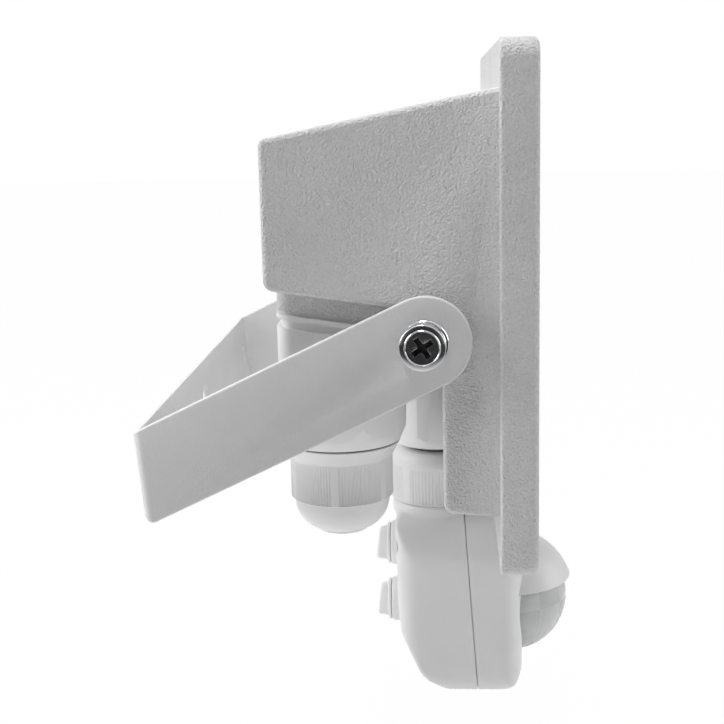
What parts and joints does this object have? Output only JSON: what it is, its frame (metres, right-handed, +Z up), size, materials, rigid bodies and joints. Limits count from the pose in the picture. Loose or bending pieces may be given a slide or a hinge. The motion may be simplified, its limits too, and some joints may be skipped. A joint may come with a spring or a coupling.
{
  "type": "motion sensor floodlight",
  "caption": "White outdoor floodlight on a folded wall bracket, with a cable gland and a swivelling motion sensor head on a clamped ball joint below it.",
  "frame": {"origin": "centre of the bracket's middle fixing hole, on the plate's wall face", "axes": "+Z up along the upright lamp, +Y towards the wall so the lamp shines along -Y, +X completes the right-handed frame; the lamp is upright and the bracket plate leans 4.77 degrees, as pictured"},
  "size_m": [0.2024, 0.1266, 0.2121],
  "materials": {
    "housing_coat": "white powder coat with a fine orange-peel grain on die-cast aluminium",
    "bracket_coat": "smoother white powder coat on folded steel",
    "clear_glass": "clear toughened glass",
    "white_reflector": "smooth white",
    "board_metal": "white lacquered aluminium board",
    "led_yellow": "yellow phosphor",
    "steel": "zinc plated",
    "chrome_steel": "bright nickel plated",
    "green_board": "green lacquered board",
    "transformer_tape": "yellow tape",
    "capacitor_sleeve": "dark blue sleeve",
    "ferrite": "dark grey",
    "white_plastic": "satin white moulding",
    "sensor_plastic": "satin white moulding",
    "lens_plastic": "milky translucent moulding",
    "terminal_plastic": "light grey moulding",
    "grey_plastic": "mid grey moulding",
    "cell_face": "amber face",
    "black_rubber": "matt black"
  },
  "bodies": {
    "bracket": {"mounting_bracket": "bracket_coat"},
    "lamp": {"lamp_housing": "housing_coat", "front_glass": "clear_glass", "glass_seal": "black_rubber", "reflector": "white_reflector", "led_board": "board_metal", "led_chips": "led_yellow", "board_screws": "steel", "driver_board": "green_board", "driver_screws": "steel", "driver_transformer": "transformer_tape", "driver_capacitors": "capacitor_sleeve", "driver_coil": "ferrite", "driver_bridge": "ferrite", "terminal_cover": "white_plastic", "cover_seal": "black_rubber", "cover_screws": "steel", "terminal_block": "terminal_plastic", "gland_washer": "black_rubber", "gland_claw": "white_plastic", "gland_seal": "black_rubber", "ball_stud": "grey_plastic", "pivot_screw_left": "chrome_steel", "spring_washer_left": "chrome_steel", "flat_washer_left": "chrome_steel", "pivot_screw_right": "chrome_steel", "spring_washer_right": "chrome_steel", "flat_washer_right": "chrome_steel"},
    "gland_nut": {"gland_nut": "white_plastic"},
    "sensor_swivel": {"ball_ring": "black_rubber"},
    "sensor_head": {"sensor_rear_shell": "sensor_plastic", "sensor_front_shell": "sensor_plastic", "fresnel_lens": "lens_plastic", "sensor_board": "green_board", "pir_detector": "steel", "light_cell": "cell_face", "control_board": "green_board", "board_spacers": "grey_plastic", "potentiometers": "terminal_plastic", "sensor_relay": "terminal_plastic", "head_screws": "steel"},
    "sensor_nut": {"sensor_clamp_nut": "white_plastic"},
    "time_knob": {"time_knob": "white_plastic"},
    "lux_knob": {"lux_knob": "white_plastic"}
  },
  "joints": [
    {"name": "lamp_tilt", "type": "hinge", "parent": "bracket", "child": "lamp", "pos_m": [0, -0.07858, 0.03721], "axis": [1, 0, 0], "range_deg": [-90, 35]},
    {"name": "gland_nut_turn", "type": "hinge", "parent": "lamp", "child": "gland_nut", "pos_m": [-0.042, -0.05128, -0.01149], "axis": [0, 0, -1], "range_deg": [0, 90]},
    {"name": "sensor_pan", "type": "hinge", "parent": "lamp", "child": "sensor_swivel", "pos_m": [0, -0.08028, -0.02579], "axis": [0, 0, 1], "range_deg": [-80, 80]},
    {"name": "sensor_tilt", "type": "hinge", "parent": "sensor_swivel", "child": "sensor_head", "pos_m": [0, -0.08028, -0.02579], "axis": [1, 0, 0], "range_deg": [-8, 8]},
    {"name": "sensor_nut_turn", "type": "hinge", "parent": "sensor_head", "child": "sensor_nut", "pos_m": [0, -0.08028, -0.02579], "axis": [0, 0, 1], "range_deg": [0, 90]},
    {"name": "time_knob_turn", "type": "hinge", "parent": "sensor_head", "child": "time_knob", "pos_m": [0, -0.06628, -0.05049], "axis": [0, 1, 0], "range_deg": [-135, 135]},
    {"name": "lux_knob_turn", "type": "hinge", "parent": "sensor_head", "child": "lux_knob", "pos_m": [0, -0.06628, -0.07099], "axis": [0, 1, 0], "range_deg": [-135, 135]}
  ]
}
